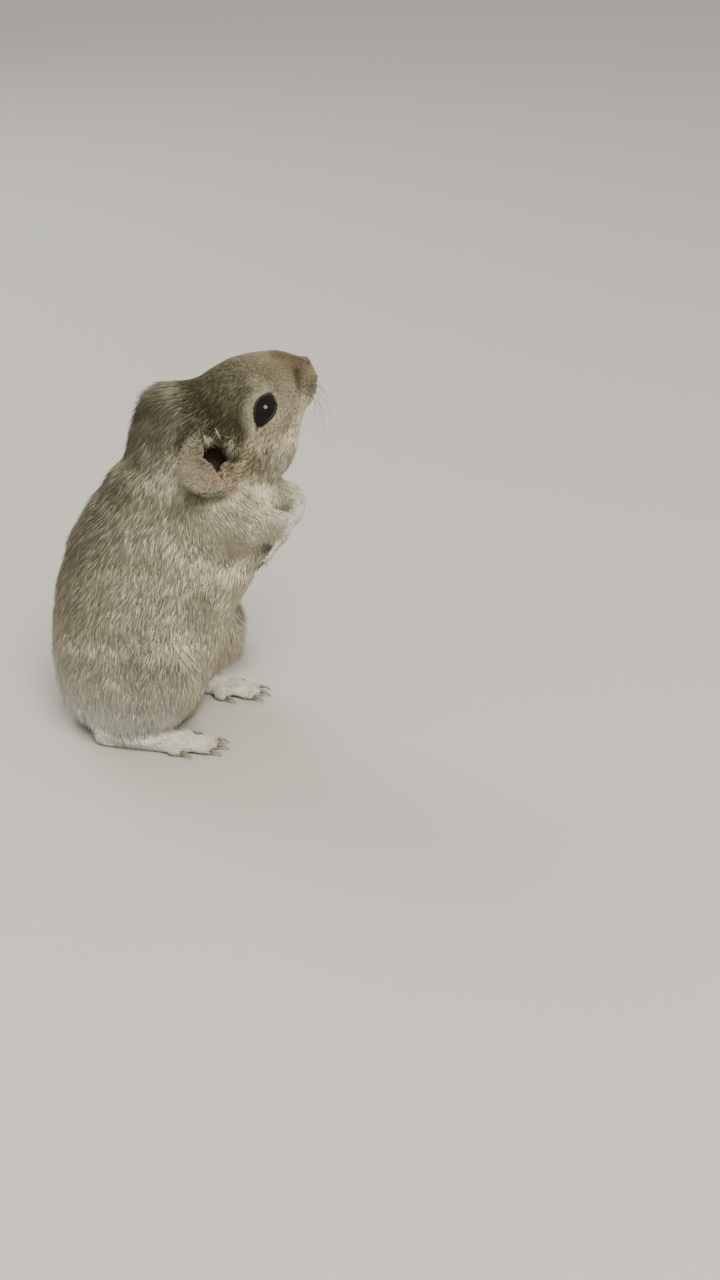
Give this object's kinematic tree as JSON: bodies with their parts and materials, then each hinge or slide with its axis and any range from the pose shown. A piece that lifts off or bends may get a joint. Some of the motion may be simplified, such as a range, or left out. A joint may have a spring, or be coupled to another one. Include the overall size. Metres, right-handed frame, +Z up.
{
  "type": "gerbil",
  "caption": "Life-size still model of a gerbil sitting up on its haunches, head raised and turned a little aside, forepaws hanging at the chest, tail curled round on the floor.",
  "frame": {"origin": "middle of the flat under the rump, on the floor", "axes": "+Z up, +X the way the body faces, +Y to the animal's left"},
  "size_m": [0.0632, 0.0716, 0.0851],
  "materials": {
    "coat": "short soft fur, grey agouti with dark ticking, pale on belly and feet",
    "foot": "skin under short pale hair",
    "ear": "thin skin with fine short hair, pinkish inside",
    "tail": "short fur ending in a dark tuft",
    "eye": "glossy black",
    "claw": "dark horn, smooth"
  },
  "bodies": {
    "root": {"head": "coat", "neck": "coat", "torso": "coat", "eye_left": "eye", "eye_right": "eye", "ear_left": "ear", "ear_right": "ear", "arm_left": "coat", "arm_right": "coat", "forepaw_left": "foot", "forepaw_right": "foot", "thigh_left": "coat", "thigh_right": "coat", "hind_foot_left": "foot", "hind_foot_right": "foot", "tail_base": "tail", "tail_middle": "tail", "tail_tip": "tail"}
  },
  "joints": []
}
